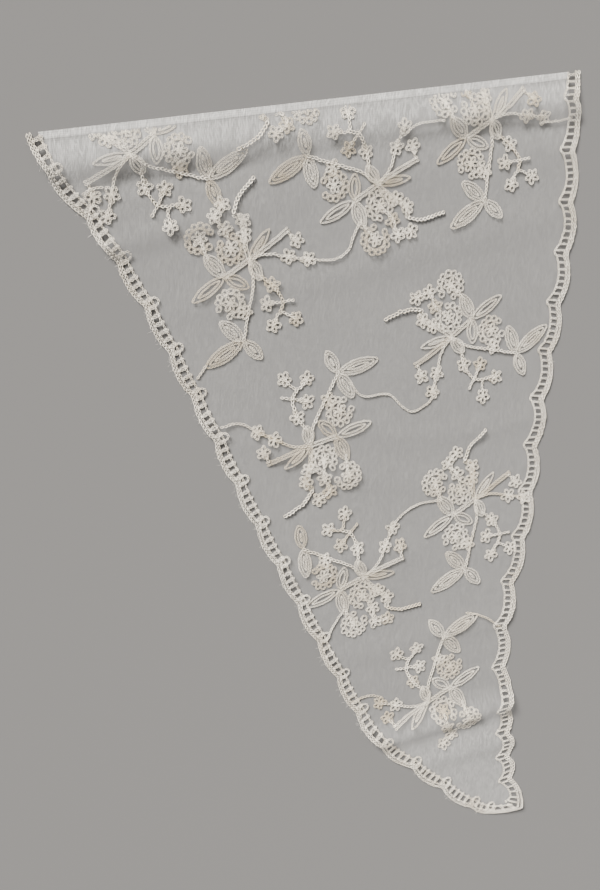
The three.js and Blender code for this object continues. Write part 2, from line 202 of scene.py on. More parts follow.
# Florets: petals run from the eye to the rim, and stray in turn, reach and fullness
FLORETS = [
    (35, 16), (30, 4), (45, 3), (19, -17), (16, -31), (23, -47), (40, -41),
    (-23, 38), (-29, 29), (-20, 21), (0, -38),
]
STALK_FLORETS = [(-7, 28), (-5, 18)]
FLORET_RADIUS, FLORET_PETALS = 6.2, 5
FLORET_EYE, FLORET_RIM = 0.9, 0.3
FLORET_HALF, FLORET_SWELL = 2.05, -0.3
FLORET_STRAY = (0.09, 0.35, 0.12)
PETAL_OVERLAP = 0.15
KNOT_RADIUS = 0.7

# Rosettes: a ring that is open between its ends, with lobes round it and a floret of its own radius
# and number of petals inside
ROSETTES = [(-38, 13), (-14, 7), (-12, -32)]
ROSETTE_RADIUS = 11.5
ROSETTE_TURN = 2.1
ROSETTE_RING, ROSETTE_RING_ENDS = 7.3, (0.45, 5.85)
LOBES, LOBE_ENDS = 11, (0.6, 5.7)
LOBE_FOOT, LOBE_HALF = 7.4, 2.15
LOBE_STRAY = (0.03, 0.3, 0.1)
ROSETTE_FLORET = (6.4, 6)

# Sprays: name, place of the spray's origin, turn in degrees, mirrored or not, what is missing
SPRAYS = [
    ("fold_left", (-184, 206), 78, True, ""),
    ("fold_mid", (-92, 271), 163, False, ""),
    ("upper_left", (-92, 138), 0, False, ""),
    ("upper_mid", (2, 198), 255, True, ""),
    ("upper_right", (86, 251), 4, False, ""),
    ("middle_right", (77, 87), 80, True, ""),
    ("middle_left", (-31, 0), 163, False, ""),
    ("lower_left", (24, -108), 246, True, "no long leaf"),
    ("lower_right", (115, -45), 358, False, ""),
    ("point", (96, -221), 174, False, "no stalk"),
]

# Stitches nearer the hem's edge than this are left out
SPRAY_HEM_GAP = 0.8

# Thin stems that link sprays to each other and to the edging: the spray they are sewn with, points
LINKS = [
    ("fold_left", [(-200, 182), (-207, 181), (-214, 176)]),
    ("upper_left", [(-48, 141), (-26, 142), (-16, 149), (-13, 159), (-8, 172)]),
    ("upper_left", [(-118, 60), (-124, 50)]),
    ("upper_mid", [(17, 234), (23, 241), (29, 244), (48, 248)]),
    ("upper_right", [(130, 253), (143, 255), (156, 259)]),
    ("middle_left", [(-4, 50), (7, 39), (29, 41), (42, 31), (51, 27), (65, 36), (69, 44)]),
    ("middle_left", [(-74, 10), (-89, 17), (-104, 14)]),
    ("lower_left", [(43, -68), (54, -55), (66, -48), (84, -45)]),
    ("lower_left", [(10, -136), (3, -148), (-2, -160)]),
    ("point", [(52, -214), (40, -212), (26, -217)]),
    ("point", [(120, -143), (135, -146), (154, -157)]),
]

# Rows of chain stitch: width of the row, pitch of its stitches, and how far it is lifted
LEAF_ROW = (1.45, 2.3, 0.0)
VEIN_ROW = (1.5, 2.3, 0.3)
TWIN_ROW = (1.75, 2.7, 0.0)
PETAL_ROW = (1.65, 2.1, 0.0)
KNOT_ROW = (1.3, 1.5, 0.5)
ROSETTE_ROW = (1.5, 2.2, 0.0)
LOBE_ROW = (1.5, 2.1, 0.1)
LINK_ROW = (2.0, 2.8, 0.0)
RUNG_ROW = (1.45, 2.2, 0.3)
SIDE_RUNG_ROW = (1.75, 2.2, 0.3)
SIDE_EDGE_ROW = (1.7, 2.4, 0.1)
CUSP_RING_ROW = (1.75, 2.3, 0.35)

# How many points each kind of line is worked out at
SPAN_POINTS, LEAF_POINTS, VEIN_POINTS, PETAL_POINTS = 40, 81, 20, 25
KNOT_POINTS, ROSETTE_POINTS, BAND_POINTS, LADDER_POINTS = 9, 60, 24, 32

# A stitch is a drop-shaped loop of yarn. This is how it lies along the row, in shares of the
# pitch, and across and over it, in shares of the width
LOOP = np.array([
    (-0.10, 0.00, 0.34),
    (0.16, 0.17, 0.52),
    (0.56, 0.38, 0.46),
    (0.94, 0.29, 0.22),
    (1.10, 0.00, 0.06),
    (0.94, -0.29, 0.22),
    (0.56, -0.38, 0.46),
    (0.16, -0.17, 0.52),
])

# How much of its height a loop keeps, how high it is bedded and how thick its yarn is, in shares of
# the width, and how far stitches stray in turn, width and place
LOOP_RISE, LOOP_BED = 0.8, 0.15
YARN_SHARE = 0.13
YARN_SIDES = 4
STITCH_TURN, STITCH_WIDTH, STITCH_PLACE = 0.06, 0.06, 0.05

# Tone of the yarn: a base tone that differs at random from stitch to stitch, with painted shade
# from dark in the crevices, inner sides and low ends of the loops to painted light on top
TONE, TONE_STRAY = 0.6, 0.12
PAINTED_TOP_LIGHT, PAINTED_INNER_SHADE = 0.32, 0.5
PAINTED_LOW_SHADE, PAINTED_SHADE_LEVEL, TONE_POWER = 1.7, 0.36, 1.3

# A few motifs are tan
TAN_MOTIFS, TAN_MOTIF_SHARE, IVORY_MOTIF_TAN = 0.14, 0.85, (0, 0.25)


# Lie of the cloth

def smooth_between(knots, values, at):
    """Values at the knots, joined by a smooth curve."""
    knots, values = np.asarray(knots, float), np.asarray(values, float)
    slopes = np.gradient(values, knots)
    at = np.clip(at, knots[0], knots[-1])
    i = np.clip(np.searchsorted(knots, at) - 1, 0, len(knots) - 2)
    step = knots[i + 1] - knots[i]
    t = (at - knots[i]) / step
    return (
        values[i] * (1 + 2 * t) * (1 - t) ** 2
        + slopes[i] * step * t * (1 - t) ** 2
        + values[i + 1] * t**2 * (3 - 2 * t)
        - slopes[i + 1] * step * t**2 * (1 - t)
    )


def rise(points):
    """Height of the cloth's underside over the floor, for points on the plan."""
    across, up = points @ HEM_WAY, points @ UP_WAY
    height = np.zeros(len(points))
    for _, half, middle, peak in FOLDS:
        way = (up - smooth_between(STATIONS, middle, across)) / half
        crest = np.maximum(smooth_between(STATIONS, peak, across), 0)
        height += crest * np.where(np.abs(way) < 1, 0.5 + 0.5 * np.cos(np.pi * way), 0)
    wander = RIPPLE_WANDER * np.sin(up * RIPPLE_WANDER_UP)
    ripple = np.sin(across * RIPPLE_ACROSS + wander)
    ripple = ripple * np.sin(up * RIPPLE_UP + across * RIPPLE_SLANT)
    return height + RIPPLE_HEIGHT * (1 + ripple)


def gathering(points):
    """How much closer the net lies, from 0 to 1."""
    up = points @ UP_WAY
    crest = np.exp(-(((up - CREST_AT) / CREST_SPREAD) ** 2))
    crease = np.exp(-(((up - CREASE_AT) / CREASE_SPREAD) ** 2))
    point = 1 / (1 + np.exp((up - POINT_BELOW) / POINT_FADE))
    return np.clip(crest + CREASE_SHARE * crease + POINT_SHARE * point, 0, 1)


def hem_down(points):
    """How far each point lies below the hem line."""
    return HEM_LINE - points @ UP_WAY


# Lines on the plan

def left_of(way):
    """Ways turned a quarter to the left."""
    return np.stack([-way[..., 1], way[..., 0]], axis=-1)


def turned(way, angle):
    """Ways, each turned to the left by its own angle."""
    return np.column_stack([
        way[:, 0] * np.cos(angle) - way[:, 1] * np.sin(angle),
        way[:, 0] * np.sin(angle) + way[:, 1] * np.cos(angle),
    ])


def ways(angles):
    """The way at each angle."""
    return np.column_stack([np.cos(angles), np.sin(angles)])


def curve(through, step=0.5):
    """Evenly spaced points on a smooth curve through the given points."""
    points = np.asarray(through, float)
    if len(points) == 2:
        return spaced(points, step=step)
    ends = np.vstack([2 * points[0] - points[1], points, 2 * points[-1] - points[-2]])
    share = np.linspace(0, 1, SPAN_POINTS, endpoint=False)[:, None]
    dense = []
    for p0, p1, p2, p3 in zip(ends, ends[1:], ends[2:], ends[3:]):
        pairs = ((p0, p1), (p1, p2), (p2, p3))
        d0, d1, d2 = (max(np.hypot(*(b - a)) ** 0.5, 1e-4) for a, b in pairs)
        leave = ((p1 - p0) / d0 - (p2 - p0) / (d0 + d1) + (p2 - p1) / d1) * d1
        enter = ((p2 - p1) / d1 - (p3 - p1) / (d1 + d2) + (p3 - p2) / d2) * d1
        square = 3 * (p2 - p1) - 2 * leave - enter
        cube = 2 * (p1 - p2) + leave + enter
        dense.append(p1 + leave * share + square * share**2 + cube * share**3)
    return spaced(np.vstack([*dense, ends[-2:-1]]), step=step)


def spaced(dense, step=None, count=None):
    """Points at even distances along a line of points."""
    run = np.r_[0, np.cumsum(np.hypot(*np.diff(dense, axis=0).T))]
    count = count or max(2, int(round(run[-1] / step)) + 1)
    at = np.linspace(0, run[-1], count)
    return np.column_stack([np.interp(at, run, dense[:, k]) for k in range(2)])


def beside(line, offset):
    """The line moved sideways, to its left."""
    way = np.gradient(line, axis=0)
    way /= np.maximum(np.hypot(*way.T), 1e-9)[:, None]
    return line + offset * left_of(way)


# Chain stitches

class Yarn:
    """Stitches gathered for one piece of embroidery."""

    def __init__(self, seed):
        self.rows = []
        self.age = 0.0
        self.random = np.random.default_rng(seed)

    def start_motif(self):
        """Most motifs are ivory with a little tan, and a few are tan."""
        tan_motif = self.random.random() < TAN_MOTIFS
        self.age = TAN_MOTIF_SHARE if tan_motif else self.random.uniform(*IVORY_MOTIF_TAN)

    def stray(self, amounts):
        """How far a small loop strays from its turn, reach and fullness."""
        return self.random.normal(0, 1, len(amounts)).clip(-2, 2) * amounts

    def chain(self, line, row, lift=0.0):
        """A row of chain stitches along a line of points, lifted a little more where it is said."""
        width, pitch, row_lift = row
        run = np.hypot(*np.diff(line, axis=0).T).sum()
        count = max(1, int(round(run / pitch)))
        ends = spaced(line, count=count + 1)
        every = [np.full(count, value) for value in (width, lift + row_lift, self.age)]
        self.rows.append((ends[:-1], ends[1:], *every))

    def stitches_below(self, hem_gap):
        """The stitches that lie further than this below the hem line."""
        start, stop, *rest = (np.concatenate(x) for x in zip(*self.rows))
        kept = hem_down((start + stop) / 2) > hem_gap
        return (x[kept] for x in (start, stop, *rest))


def loop_sides():
    """The way out of the loop at each of its spots."""
    way = (np.roll(LOOP, -1, axis=0) - np.roll(LOOP, 1, axis=0))[:, :2]
    way /= np.hypot(*way.T)[:, None]
    return -left_of(way)


def face_corners(lengths, sides):
    """Corners of a tube's faces: how far along each lies, and which side of the tube it is on."""
    along, side = np.meshgrid(np.arange(lengths), np.arange(sides), indexing="ij")
    return [(along, side), (along, side + 1), (along + 1, side + 1), (along + 1, side)]


def tube_faces(lengths, spots, sides, count):
    """Four-sided faces of so many tubes. One with as many lengths as spots is closed to a ring."""
    corners = face_corners(lengths, sides)
    faces = np.stack([k % spots * sides + c % sides for k, c in corners], -1).reshape(1, -1, 4)
    first = np.arange(count) * spots * sides
    return (faces + first[:, None, None]).reshape(-1, 4)


def yarn_map():
    """Where the corners of one loop's faces lie along the yarn and round it."""
    corners = face_corners(len(LOOP), YARN_SIDES)
    places = [np.stack([k / len(LOOP), c / YARN_SIDES], -1) for k, c in corners]
    return np.stack(places, 2).astype(np.float32).ravel()


def yarn_piece(name, yarn, hem_gap):
    """One piece of all the stitches that lie further than the gap below the hem line."""
    start, stop, width, lift, age = yarn.stitches_below(hem_gap)
    count = len(start)
    jitter = yarn.random.normal(0, 1, (count, 4))
    pitch = np.hypot(*(stop - start).T)
    way = turned((stop - start) / pitch[:, None], jitter[:, 0] * STITCH_TURN)
    across = left_of(way)
    width = width * (1 + STITCH_WIDTH * jitter[:, 1])
    start = start + across * (jitter[:, 2] * STITCH_PLACE * width)[:, None]

    turns = (np.arange(YARN_SIDES) + 0.5) * 2 * np.pi / YARN_SIDES
    side = loop_sides()
    radius = YARN_SHARE * width[:, None, None]
    out = np.cos(turns) * radius
    along = (LOOP[:, 0] * pitch[:, None])[:, :, None] + side[:, 0, None] * out
    aside = (LOOP[:, 1] * width[:, None])[:, :, None] + side[:, 1, None] * out
    over = (LOOP[:, 2] * width[:, None] * LOOP_RISE)[:, :, None]
    plan = (
        start[:, None, None, :]
        + way[:, None, None, :] * along[..., None]
        + across[:, None, None, :] * aside[..., None]
    ).reshape(-1, 2)
    bed = rise(plan).reshape(along.shape) + NET_TOP + LOOP_BED * width[:, None, None]
    level = bed + over + np.sin(turns) * radius + lift[:, None, None]
    verts = np.concatenate([plan + PLAN_SHIFT, level.reshape(-1, 1)], axis=1) * MM
    mesh = mesh_of(name, verts, tube_faces(len(LOOP), len(LOOP), YARN_SIDES, count))
    mesh.uv_layers.new(name="yarn").data.foreach_set("uv", np.tile(yarn_map(), count))

    # Painted shade: each stitch's random tone is made lighter on top and on the loops' outer sides,
    # and darker underneath, on their inner sides and at their low ends, where shade falls
    tone_with_painted_shade = TONE + TONE_STRAY * jitter[:, 3, None, None]
    tone_with_painted_shade = tone_with_painted_shade + PAINTED_TOP_LIGHT * np.sin(turns) + PAINTED_INNER_SHADE * np.cos(turns)
    tone_with_painted_shade = tone_with_painted_shade + PAINTED_LOW_SHADE * (LOOP[:, 2, None] - PAINTED_SHADE_LEVEL)
    set_values(mesh, "shade", np.clip(tone_with_painted_shade, 0, 1) ** TONE_POWER)
    set_values(mesh, "age", np.broadcast_to(age[:, None, None], tone_with_painted_shade.shape))
    return piece_of(name, mesh)


def set_values(mesh, name, values):
    """A value of its own for every point of the mesh."""
    layer = mesh.attributes.new(name, "FLOAT", "POINT")
    layer.data.foreach_set("value", values.astype(np.float32).ravel())


def mesh_of(name, verts, faces, ends=(), each=1):
    """A mesh of points and four-sided faces, with three-sided ends on each run of points."""
    first = np.arange(len(verts) // each) * each
    caps = (np.array(ends, int).reshape(-1, 3)[None] + first[:, None, None]).reshape(-1, 3)
    corners = np.r_[faces.ravel(), caps.ravel()]
    starts = np.r_[np.arange(len(faces)) * 4, len(faces) * 4 + np.arange(len(caps)) * 3]
    mesh = bpy.data.meshes.new(name)
    mesh.vertices.add(len(verts))
    mesh.vertices.foreach_set("co", np.ascontiguousarray(verts, np.float32).ravel())
    mesh.loops.add(len(corners))
    mesh.loops.foreach_set("vertex_index", corners.astype(np.int32))
    mesh.polygons.add(len(starts))
    mesh.polygons.foreach_set("loop_start", starts.astype(np.int32))
    mesh.update(calc_edges=True)
    mesh.validate()
    mesh.polygons.foreach_set("use_smooth", np.ones(len(starts), bool))
    return mesh


def piece_of(name, data):
    """An object of its own in the scene."""
    piece = bpy.data.objects.new(name, data)
    bpy.context.scene.collection.objects.link(piece)
    return piece


# Motifs of a spray

def leaf_ring(foot, point, width, inset):
    """Closed line round a leaf, set in from its outline."""
    foot, point = np.asarray(foot, float), np.asarray(point, float)
    length = np.hypot(*(point - foot))
    way = (point - foot) / length
    across = left_of(way)
    share = np.linspace(0, 1, LEAF_POINTS)
    half = np.sin(np.pi * share) ** LEAF_ROUNDNESS * width / 2 * (1 - LEAF_TAPER * share) - inset
    inside = half > 0
    share, half = share[inside], half[inside]
    along = np.clip(share * length, inset * LEAF_FOOT_GAP, length - inset * LEAF_POINT_GAP)
    left = foot + along[:, None] * way + half[:, None] * across
    right = foot + along[:, None] * way - half[:, None] * across
    return np.vstack([left, right[::-1], left[:1]])


def sew_leaf(yarn, put, kind, foot, point, width):
    """Rows of stitches round a leaf, one inside the other, and a vein in a round one."""
    yarn.start_motif()
    for i, inset in enumerate(LEAF_ROWS[kind]):
        ring = leaf_ring(foot, point, width, inset)
        yarn.chain(put(ring), LEAF_ROW, lift=LEAF_LIFT[kind] + LEAF_STEP * i)
    if kind == "round":
        foot, point = np.asarray(foot, float), np.asarray(point, float)
        vein = foot + (point - foot) * np.linspace(*VEIN_ENDS, VEIN_POINTS)[:, None]
        yarn.chain(put(vein), VEIN_ROW, lift=LEAF_LIFT[kind])


def petal(centre, angle, near, far, half, swell=0.25):
    """Closed drop-shaped line of one small loop, fuller or more pointed at its far end."""
    t = np.linspace(0, 1, PETAL_POINTS)
    share = 0.5 - 0.5 * np.cos(2 * np.pi * t)
    along = near + (far - near) * share
    aside = half * np.sin(2 * np.pi * t) * (1 - max(swell, 0) + swell * share)
    way = np.array([math.cos(angle), math.sin(angle)])
    return np.asarray(centre, float) + along[:, None] * way + aside[:, None] * left_of(way)


def sew_floret(yarn, put, centre, angle, radius=FLORET_RADIUS, petals=FLORET_PETALS):
    """A small flower of open petals round a knot."""
    yarn.start_motif()
    for k in range(petals):
        turn, reach, fullness = yarn.stray(FLORET_STRAY)
        way = angle + turn + k * 2 * math.pi / petals
        half = (FLORET_HALF + fullness) * radius / FLORET_RADIUS * FLORET_PETALS / petals
        far = radius - FLORET_RIM + reach
        loop = petal(centre, way, FLORET_EYE, far, half, swell=FLORET_SWELL)
        yarn.chain(put(loop), PETAL_ROW, lift=PETAL_OVERLAP * (k % 2))
    knot = KNOT_RADIUS * ways(np.linspace(0, 2 * np.pi, KNOT_POINTS))
    yarn.chain(put(np.asarray(centre, float) + knot), KNOT_ROW)


def sew_rosette(yarn, put, centre, angle):
    """A small flower inside an open ring of joined loops."""
    yarn.start_motif()
    centre = np.asarray(centre, float)
    ring = ways(angle + np.linspace(*ROSETTE_RING_ENDS, ROSETTE_POINTS))
    yarn.chain(put(centre + ROSETTE_RING * ring), ROSETTE_ROW)
    for way in np.linspace(*LOBE_ENDS, LOBES):
        turn, reach, fullness = yarn.stray(LOBE_STRAY)
        far, half = ROSETTE_RADIUS + reach, LOBE_HALF + fullness
        loop = petal(centre, angle + way + turn, LOBE_FOOT, far, half, swell=0)
        yarn.chain(put(loop), LOBE_ROW)
    sew_floret(yarn, put, centre, angle, *ROSETTE_FLORET)


def sew_stem(yarn, put, width, through):
    """One row of stitches, or two side by side in a wide stem."""
    yarn.start_motif()
    line = curve(through)
    if width >= WIDE_STEM:
        for side in (-TWIN_APART, TWIN_APART):
            yarn.chain(put(beside(line, side)), TWIN_ROW)
    else:
        yarn.chain(put(line), (width * STEM_SHARE, STEM_PITCH, 0.0))


def sew_spray(yarn, spray):
    """A spray of stems, leaves and flowers at its place, with the links sewn along with it."""
    name, at, turn, mirrored, without = spray
    angle = math.radians(turn)
    spin = np.array([[math.cos(angle), math.sin(angle)], [-math.sin(angle), math.cos(angle)]])

    def put(points):
        points = np.array(points, float)
        if mirrored:
            points[:, 0] *= -1
        return points @ spin + np.array(at, float)

    stalk = without != "no stalk"
    for width, through in STEMS + (STALK_STEMS if stalk else []):
        sew_stem(yarn, put, width, through)
    for leaf in LEAVES + ([LONG_LEAF] if without != "no long leaf" else []):
        sew_leaf(yarn, put, *leaf)
    for i, centre in enumerate(FLORETS + (STALK_FLORETS if stalk else [])):
        sew_floret(yarn, put, centre, float(i))
    for i, centre in enumerate(ROSETTES):
        sew_rosette(yarn, put, centre, ROSETTE_TURN * i)
    for owner, through in LINKS:
        if owner == name:
            yarn.chain(curve(through), LINK_ROW)


# Scalloped edging

def cusps():
    """Places of the cusps, the way outwards and the reach at each, and each scallop's bulge."""
    places, bulges = [], []
    for scallops, bulge, through in STRETCHES:
        points = spaced(curve(through, step=0.25), count=scallops + 1)
        places.extend(points[:-1])
        bulges.extend([bulge] * scallops)
    places = np.array([*places, points[-1]])
    after = np.vstack([places[1:], places[-1:]])
    before = np.vstack([places[:1], places[:-1]])
    way = (after - before) / np.hypot(*(after - before).T)[:, None]
    out = -left_of(way)
    reach = np.ones(len(places))
    out[TIP] = TIP_WAY
    reach[TIP] = TIP_REACH
    return places, out, reach, bulges


PLACES, OUT, REACH, BULGES = cusps()


def scallop_length(scallop):
    """Distance from one cusp to the next."""
    return np.hypot(*(PLACES[scallop + 1] - PLACES[scallop]))


def edge_point(scallop, share, outwards, bulge_share):
    """Points of the edging: share along the scallop, distance outwards, share of its bulge."""
    share = np.atleast_1d(np.asarray(share, float))[:, None]
    near = PLACES[scallop] + OUT[scallop] * REACH[scallop] * outwards
    far = PLACES[scallop + 1] + OUT[scallop + 1] * REACH[scallop + 1] * outwards
    out = OUT[scallop] + (OUT[scallop + 1] - OUT[scallop]) * share
    bulge = BULGES[scallop] * bulge_share * 4 * share * (1 - share)
    return near + (far - near) * share + out * bulge


def edge_line(outwards, bulge_share, first, last):
    """A line along the edging at one distance outwards, from one cusp to another."""
    share = np.linspace(0, 1, BAND_POINTS, endpoint=False)
    parts = [edge_point(s, share, outwards, bulge_share) for s in range(first, last)]
    return np.vstack([*parts, edge_point(last - 1, 1.0, outwards, bulge_share)])


def sew_left_rungs(yarn):
    """Rungs of the left side, each a long loop from the band to the inner edge."""
    for s in range(TIP):
        rungs = round(scallop_length(s) / RUNG_PITCH)
        for r in range(rungs):
            share = (r + 0.5 + RUNG_STRAY * yarn.random.uniform(-1, 1)) / rungs
            foot = edge_point(s, share, *RUNG_FOOT)[0]
            way = edge_point(s, share, *RUNG_END)[0] - foot
            angle, length = math.atan2(way[1], way[0]), np.hypot(*way)
            loop = petal(foot, angle, RUNG_NEAR, length, RUNG_HALF, swell=RUNG_SWELL)
            yarn.chain(loop, RUNG_ROW)


def sew_right_ladder(yarn):
    """Rungs of the right side, and its bumpy inner edge."""
    knots, values = np.array(SIDE_LADDER).T
    share = np.linspace(0, 1, LADDER_POINTS, endpoint=False)
    edge = []
    for s in range(TIP, SCALLOPS):
        cells = max(SIDE_RUNGS_LEAST, round(scallop_length(s) / SIDE_RUNG_PITCH))
        bump = SIDE_BUMP * np.abs(np.sin(np.pi * (cells * share - SIDE_RUNG_AT)))
        outwards = smooth_between(knots, values, share) - bump
        edge.append(edge_point(s, share, outwards[:, None], 0))
        for r in range(cells):
            at = (r + SIDE_RUNG_AT + SIDE_RUNG_STRAY * yarn.random.uniform(-1, 1)) / cells
            foot = edge_point(s, at, smooth_between(knots, values, at) + SIDE_RUNG_FOOT, 0)
            rung = np.vstack([foot, edge_point(s, at, *SIDE_RUNG_END)])
            yarn.chain(rung, SIDE_RUNG_ROW)
    yarn.chain(np.vstack(edge), SIDE_EDGE_ROW)


def sew_edging(yarn):
    """The outer band, the ladders of both sides, and the pointed rings at the left cusps."""
    for outwards, bulge_share, width, first, last in EDGING_ROWS:
        yarn.chain(edge_line(outwards, bulge_share, first, last), (width, EDGE_PITCH, 0.0))
    sew_left_rungs(yarn)
    sew_right_ladder(yarn)
    for s in range(1, TIP):
        centre = PLACES[s] + OUT[s] * CUSP_RING_AT
        ring = petal(centre, math.atan2(-OUT[s][1], -OUT[s][0]), *CUSP_RING)
        yarn.chain(ring, CUSP_RING_ROW)


def fibre_mesh():
    """Fine loose fibres that stand out from the edging, each a closed spindle near the floor."""
    random = np.random.default_rng(FIBRE_SEED)
    scallop = random.integers(0, SCALLOPS, FIBRES)
    share = random.uniform(0, 1, FIBRES)
    foot = np.vstack([edge_point(s, a, FIBRE_FOOT, 1.0) for s, a in zip(scallop, share)])
    kept = hem_down(foot) > HEM_WIDTH
    foot, scallop, share = foot[kept], scallop[kept], share[kept]
    count = len(foot)
    out = OUT[scallop] * (1 - share[:, None]) + OUT[scallop + 1] * share[:, None]
    way = turned(out, random.normal(0, FIBRE_LEAN, count))
    across = left_of(way)
    length = random.uniform(*FIBRE_LENGTH, count)[:, None]
    bend = random.normal(0, FIBRE_BEND, count)[:, None] * length
    lift = random.uniform(*FIBRE_LIFT, count)[:, None]

    spots, sides = len(FIBRE_TAPER), FIBRE_SIDES
    run = np.linspace(0, 1, spots)
    line = (
        foot[:, None, :]
        + way[:, None, :] * (length * run)[..., None]
        + across[:, None, :] * (bend * run**2)[..., None]
    )
    height = FIBRE_LEVEL + lift * (1 - run) ** 2
    radius = (FIBRE_RADIUS * FIBRE_TAPER)[:, None]
    turns = np.arange(sides) * 2 * np.pi / sides
    aside = (radius * np.cos(turns))[None, ..., None]
    plan = line[:, :, None, :] + across[:, None, None, :] * aside
    level = height[:, :, None] + radius * np.sin(turns)
    verts = np.concatenate([plan.reshape(-1, 2) + PLAN_SHIFT, level.reshape(-1, 1)], axis=1) * MM
    last = (spots - 1) * sides
    ends = [(2, 1, 0), (last, last + 1, last + 2)]
    faces = tube_faces(spots - 1, spots, sides, count)
    return mesh_of("stray_fibres", verts, faces, ends, each=spots * sides)


# Net

def net_outline():
    """Outline of the net along the edging, from the top left round the point to the top right."""
    side = []
    for s in range(SCALLOPS):
        shoulder = SHOULDER / scallop_length(s)
        side.append(edge_point(s, 0, NET_REACH, INNER_BULGE))
        inner = [shoulder, 0.25, 0.5, 0.75, 1 - shoulder]
        if s == TIP:
            inner = inner[1:]
        if s == TIP - 1:
            inner = inner[:-1]
        side.append(edge_point(s, inner, CUSP_REACH + NET_REACH, INNER_BULGE))
    side.append(edge_point(SCALLOPS - 1, 1, NET_REACH, INNER_BULGE))
    return np.vstack(side)


def cloth_sheet(name, lowest, under, thick, step):
    """A thin closed sheet over the net's outline, from the hem line down to a distance below it."""
    shape = bmesh.new()
    shape.faces.new([shape.verts.new((x, y, 0)) for x, y in net_outline()])
    up = Vector((*UP_WAY, 0))
    along = Vector((*HEM_WAY, 0))

    def slice_at(way, distance, **clear):
        bmesh.ops.bisect_plane(
            shape, geom=[*shape.verts, *shape.edges, *shape.faces], dist=1e-5,
            plane_co=way * distance, plane_no=way, **clear,
        )

    def slice_evenly(way, apart):
        places = [v.co.dot(way) for v in shape.verts]
        for distance in np.arange(math.ceil(min(places) / apart) * apart, max(places), apart):
            slice_at(way, float(distance))

    slice_at(up, HEM_LINE, clear_outer=True)
    if lowest is not None:
        slice_at(up, HEM_LINE - lowest, clear_inner=True)
    slice_evenly(up, step)
    slice_evenly(along, step * ACROSS_STEPS)
    bmesh.ops.remove_doubles(shape, verts=shape.verts, dist=0.02)
    bmesh.ops.triangulate(shape, faces=[f for f in shape.faces if len(f.verts) > 4])
    bmesh.ops.recalc_face_normals(shape, faces=shape.faces)
    if sum(f.normal.z for f in shape.faces) < 0:
        bmesh.ops.reverse_faces(shape, faces=shape.faces)
    plan = np.array([v.co[:2] for v in shape.verts])
    for v, z in zip(shape.verts, rise(plan) + under):
        v.co = Vector(((v.co.x + PLAN_SHIFT[0]) * MM, (v.co.y + PLAN_SHIFT[1]) * MM, z * MM))
    mesh = bpy.data.meshes.new(name)
    shape.to_mesh(mesh)
    shape.free()
    mesh.polygons.foreach_set("use_smooth", np.ones(len(mesh.polygons), bool))
    set_values(mesh, "gathered", gathering(plan))
    piece = piece_of(name, mesh)
    body = piece.modifiers.new("thickness", "SOLIDIFY")
    body.thickness = thick * MM
    body.offset = 1
    apply_modifiers(piece)
    return piece


def apply_modifiers(piece):
    """The piece's modifiers made part of its mesh."""
    bpy.ops.object.select_all(action="DESELECT")
    piece.select_set(True)
    bpy.context.view_layer.objects.active = piece
    for modifier in list(piece.modifiers):
        bpy.ops.object.modifier_apply(modifier=modifier.name)
    piece.select_set(False)


# Finishes

# Outputs of nodes, by number
OBJECT_PLACE = 3
WAVE_STRENGTH = 1
ATTRIBUTE_VALUE = 2
MIXED_COLOUR = 2

# Colours, and how much of the net's area its threads cover
SPRAY_IVORY = (0.95, 0.87, 0.73, 1)
EDGING_IVORY = (0.94, 0.86, 0.72, 1)
# Colour of the painted shade in the yarn's crevices
PAINTED_CREVICE_SHADE = (0.09, 0.068, 0.045, 1)
TAN = (0.41, 0.325, 0.205, 1)
FIBRE_PALE, FIBRE_DARK = (0.90, 0.86, 0.78, 1), (0.62, 0.57, 0.49, 1)
NET_THREAD, NET_STREAK = (0.80, 0.78, 0.74, 1), (0.86, 0.84, 0.80, 1)
NET_COVER, HEM_COVER, GATHERED_COVER = 0.023, 0.09, 0.065
NET_COMB_TURN = math.radians(-14)
FLOOR_GREY = (0.108, 0.1045, 0.101, 1)


class Value:
    """A socket of a finish, so that shader sums read as sums."""

    def __init__(self, finish, socket):
        self.finish, self.socket = finish, socket

    def sum(self, operation, first, second):
        return self.finish.node("ShaderNodeMath", {"operation": operation}, {0: first, 1: second})

    def __add__(self, other):
        return self.sum("ADD", self, other)

    def __radd__(self, other):
        return self.sum("ADD", other, self)

    def __mul__(self, other):
        return self.sum("MULTIPLY", self, other)

    def __rmul__(self, other):
        return self.sum("MULTIPLY", other, self)

    def __pow__(self, other):
        return self.sum("POWER", self, other)

    def __rpow__(self, other):
        return self.sum("POWER", other, self)


